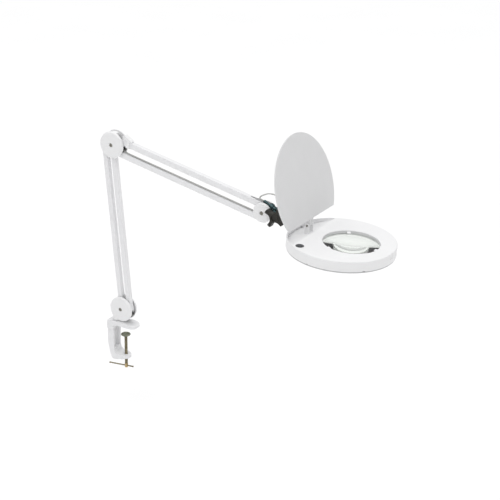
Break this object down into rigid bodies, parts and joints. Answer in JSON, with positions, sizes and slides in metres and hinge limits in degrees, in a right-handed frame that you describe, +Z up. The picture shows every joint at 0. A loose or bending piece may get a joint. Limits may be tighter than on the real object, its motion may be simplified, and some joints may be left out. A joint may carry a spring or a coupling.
{
  "type": "magnifying lamp",
  "caption": "Clamp-on magnifying lamp: a parallel-link spring arm carries a round head with a large lens, a ring light and a flip-up lens cover.",
  "frame": {"origin": "on the underside of the clamp's upper jaw, below the base joint's swivel axis; the desk top's surface lies at Z = 0", "axes": "+Z up along the base swivel axis, +X from the base towards the lens head, the arms lie in the XZ plane"},
  "size_m": [0.7233, 0.235, 0.6576],
  "materials": {
    "white_paint": "smooth white powder coat",
    "white_plastic": "fine satin white moulding",
    "black_plastic": "satin black moulding",
    "steel": "plain turned steel",
    "chrome": "polished chrome plate",
    "brass": "yellow passivated plating",
    "zinc": "dull zinc plating",
    "glass": "clear polished lens",
    "diffuser": "translucent opal sheet",
    "circuit": "white solder-masked board",
    "dark_cable": "satin black sheath",
    "grey_cable": "satin light grey sheath",
    "grey_button": "satin dark grey moulding"
  },
  "bodies": {
    "clamp": {"clamp_frame": "white_paint", "swivel_washer": "white_plastic"},
    "clamp_foot": {"swivel_pad": "zinc"},
    "screw": {"clamp_screw": "brass"},
    "handle": {"tommy_bar": "brass"},
    "base": {"base_yoke": "white_plastic", "lower_stop": "black_plastic", "base_cover_near": "white_plastic", "base_cover_far": "white_plastic", "base_screw_near": "steel", "base_screw_far": "steel", "base_pin_rear": "steel", "base_pin_front": "steel"},
    "lower_rear": {"lower_tube_rear": "white_paint"},
    "lower_front": {"lower_tube_front": "white_paint", "lower_spring": "steel"},
    "elbow": {"elbow_core": "white_plastic", "elbow_cover_near": "white_plastic", "elbow_cover_far": "white_plastic", "elbow_screw_near": "steel", "elbow_screw_far": "steel", "elbow_pin_rear": "steel", "elbow_pin_front": "steel", "elbow_pin_top": "steel", "elbow_pin_bottom": "steel"},
    "upper_top": {"upper_tube_top": "white_paint", "tube_collar": "white_plastic"},
    "upper_bottom": {"upper_tube_bottom": "white_paint", "upper_spring": "steel", "cable_block": "black_plastic", "arm_cable": "dark_cable"},
    "end": {"end_core": "white_plastic", "end_cover_near": "white_plastic", "end_cover_far": "white_plastic", "end_screw_near": "steel", "end_screw_far": "steel", "end_pin_top": "steel", "end_pin_bottom": "steel"},
    "neck": {"neck_shaft": "chrome", "tilt_nut": "steel", "head_cable_rear": "grey_cable"},
    "knob": {"tilt_knob": "black_plastic", "tilt_bolt": "steel"},
    "head": {"head_bracket": "white_paint", "head_housing": "white_plastic", "head_lower_cover": "white_plastic", "lens": "glass", "lens_ring": "white_plastic", "light_board": "circuit", "diffuser": "diffuser", "driver_board": "circuit", "switch_body": "black_plastic", "switch_bezel": "grey_button", "bracket_screw_near": "steel", "bracket_screw_far": "steel", "head_cable_front": "grey_cable", "cable_gland": "black_plastic", "lid_pin": "steel"},
    "button": {"switch_button": "grey_button"},
    "lid": {"lens_cover": "white_plastic"}
  },
  "joints": [
    {"name": "clamp_feed", "type": "slide", "parent": "clamp", "child": "clamp_foot", "axis": [0, 0, 1], "range_m": [-0.028, 0.011]},
    {"name": "screw_turn", "type": "hinge", "parent": "clamp_foot", "child": "screw", "pos_m": [0.005, 0, -0.1], "axis": [0, 0, 1], "continuous": true},
    {"name": "handle_slide", "type": "slide", "parent": "screw", "child": "handle", "axis": [0.9833, 0.1822, 0], "range_m": [-0.009, 0.035]},
    {"name": "base_swivel", "type": "hinge", "parent": "clamp", "child": "base", "pos_m": [0, 0, 0.012], "axis": [0, 0, 1], "continuous": true},
    {"name": "lower_arm_tilt", "type": "hinge", "parent": "base", "child": "lower_rear", "pos_m": [-0.003, 0, 0.043], "axis": [0, 1, 0], "range_deg": [-12, 50]},
    {"name": "lower_front_tilt", "type": "hinge", "parent": "base", "child": "lower_front", "pos_m": [0.019, 0, 0.043], "axis": [0, 1, 0], "range_deg": [-12, 50]},
    {"name": "elbow_level", "type": "hinge", "parent": "lower_rear", "child": "elbow", "pos_m": [-0.0418, 0, 0.4426], "axis": [0, 1, 0], "range_deg": [-50, 12]},
    {"name": "upper_arm_tilt", "type": "hinge", "parent": "elbow", "child": "upper_top", "pos_m": [0.0032, 0, 0.4528], "axis": [0, 1, 0], "range_deg": [-35, 26]},
    {"name": "upper_bottom_tilt", "type": "hinge", "parent": "elbow", "child": "upper_bottom", "pos_m": [-0.0033, 0, 0.4236], "axis": [0, 1, 0], "range_deg": [-35, 26]},
    {"name": "end_level", "type": "hinge", "parent": "upper_top", "child": "end", "pos_m": [0.3775, 0, 0.3754], "axis": [0, 1, 0], "range_deg": [-26, 35]},
    {"name": "neck_swivel", "type": "hinge", "parent": "end", "child": "neck", "pos_m": [0.4145, 0, 0.365], "axis": [0.8957, 0, -0.4446], "range_deg": [-30, 6]},
    {"name": "knob_turn", "type": "hinge", "parent": "neck", "child": "knob", "pos_m": [0.4145, 0, 0.365], "axis": [0, 1, 0], "continuous": true},
    {"name": "head_tilt", "type": "hinge", "parent": "neck", "child": "head", "pos_m": [0.4145, 0, 0.365], "axis": [0, 1, 0], "range_deg": [-25, 50]},
    {"name": "button_press", "type": "slide", "parent": "head", "child": "button", "axis": [0.0523, 0, 0.9986], "range_m": [-0.0018, 0], "stiffness_N_per_m": 500, "springref_m": 0.002},
    {"name": "lid_hinge", "type": "hinge", "parent": "head", "child": "lid", "pos_m": [0.48327, 0, 0.35594], "axis": [0, 1, 0], "range_deg": [0, 109]}
  ],
  "couplings": [
    {"joint": "lower_front_tilt", "follows": "lower_arm_tilt", "ratio": 1},
    {"joint": "elbow_level", "follows": "lower_arm_tilt", "ratio": -1},
    {"joint": "upper_bottom_tilt", "follows": "upper_arm_tilt", "ratio": 1},
    {"joint": "end_level", "follows": "upper_arm_tilt", "ratio": -1},
    {"joint": "screw_turn", "follows": "clamp_feed", "rad_per_m": 5026.5}
  ]
}
